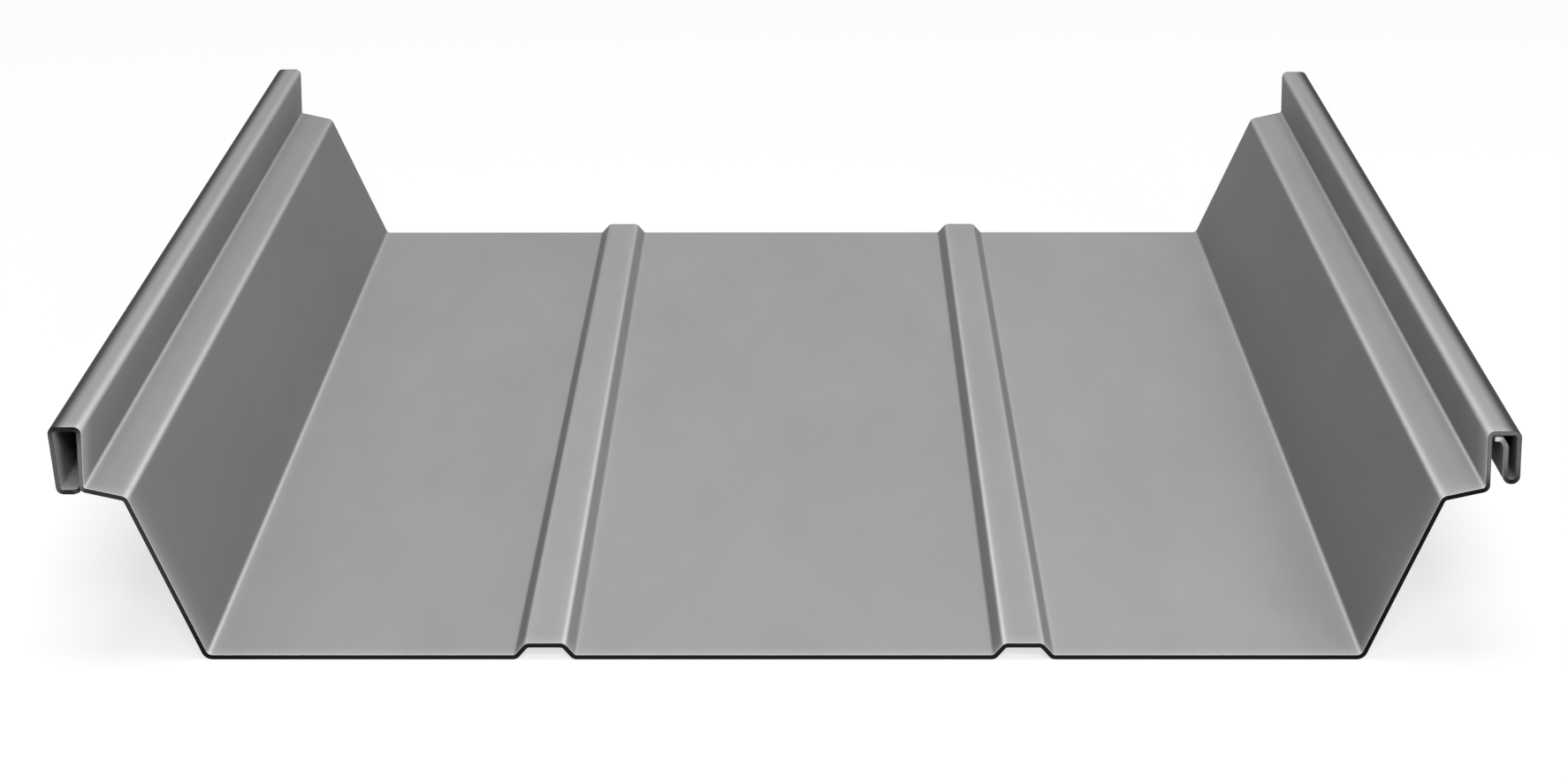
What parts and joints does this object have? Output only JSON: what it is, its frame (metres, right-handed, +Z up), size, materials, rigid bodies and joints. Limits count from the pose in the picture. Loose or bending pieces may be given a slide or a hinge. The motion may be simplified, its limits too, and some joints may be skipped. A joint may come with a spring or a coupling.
{
  "type": "standing seam roof panel",
  "caption": "Short length of roll-formed metal roof sheet: flat ribbed pan, sloping sides and shoulders, a nearly closed box seam on the left edge and an open hooked seam on the right.",
  "frame": {"origin": "on the underside of the pan, under the middle of the panel's width and length", "axes": "+X across the panel from the closed left seam to the hooked right seam, +Y along the sheet from the near cut end to the far one, +Z up out of the pan's weather side"},
  "size_m": [0.4681, 0.61, 0.0778],
  "materials": {
    "coated_metal": "satin grey, coil coated on both faces, bare grey at the cut ends"
  },
  "bodies": {
    "root": {"roof_panel": "coated_metal"}
  },
  "joints": []
}
